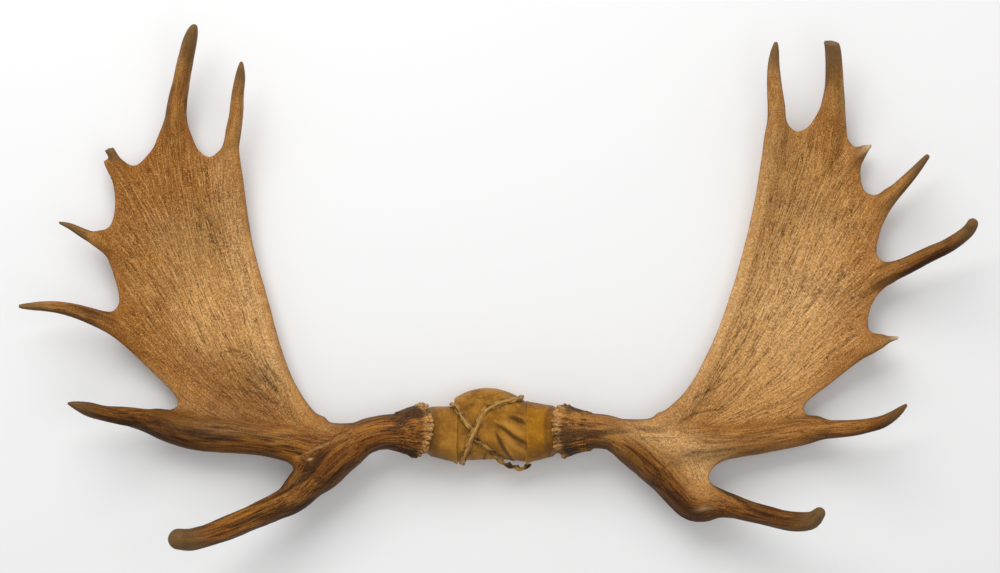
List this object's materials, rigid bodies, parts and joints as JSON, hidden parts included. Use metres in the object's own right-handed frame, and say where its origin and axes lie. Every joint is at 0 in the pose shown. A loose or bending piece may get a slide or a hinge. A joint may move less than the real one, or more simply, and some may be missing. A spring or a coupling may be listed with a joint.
{
  "type": "moose antler rack",
  "caption": "Pair of palmate moose antlers joined by a skull plate under a laced buckskin wrap, lying on the plate's flat back and the palms' bellies.",
  "frame": {"origin": "middle of the skull plate's sawn back face", "axes": "+X towards the right antler, +Y towards the tops of the palms, +Z out of the hollow faces of the palms, away from the ground it lies on"},
  "size_m": [1.4006, 0.766, 0.2015],
  "materials": {
    "antler": "satin",
    "skull_bone": "matte",
    "buckskin": "matte",
    "thong": "matte"
  },
  "bodies": {
    "root": {"left_beam": "antler", "left_brow_tine": "antler", "left_second_tine": "antler", "left_third_tine": "antler", "left_top_outer_tine": "antler", "left_top_inner_tine": "antler", "left_palm": "antler", "right_beam": "antler", "right_brow_tine": "antler", "right_second_tine": "antler", "right_fourth_tine": "antler", "right_fifth_tine": "antler", "right_top_outer_tine": "antler", "right_top_inner_tine": "antler", "right_palm": "antler", "skull_plate": "skull_bone", "left_cuff": "buckskin", "centre_panel": "buckskin", "right_cuff": "buckskin", "rear_thong": "thong", "front_thong": "thong"}
  },
  "joints": []
}
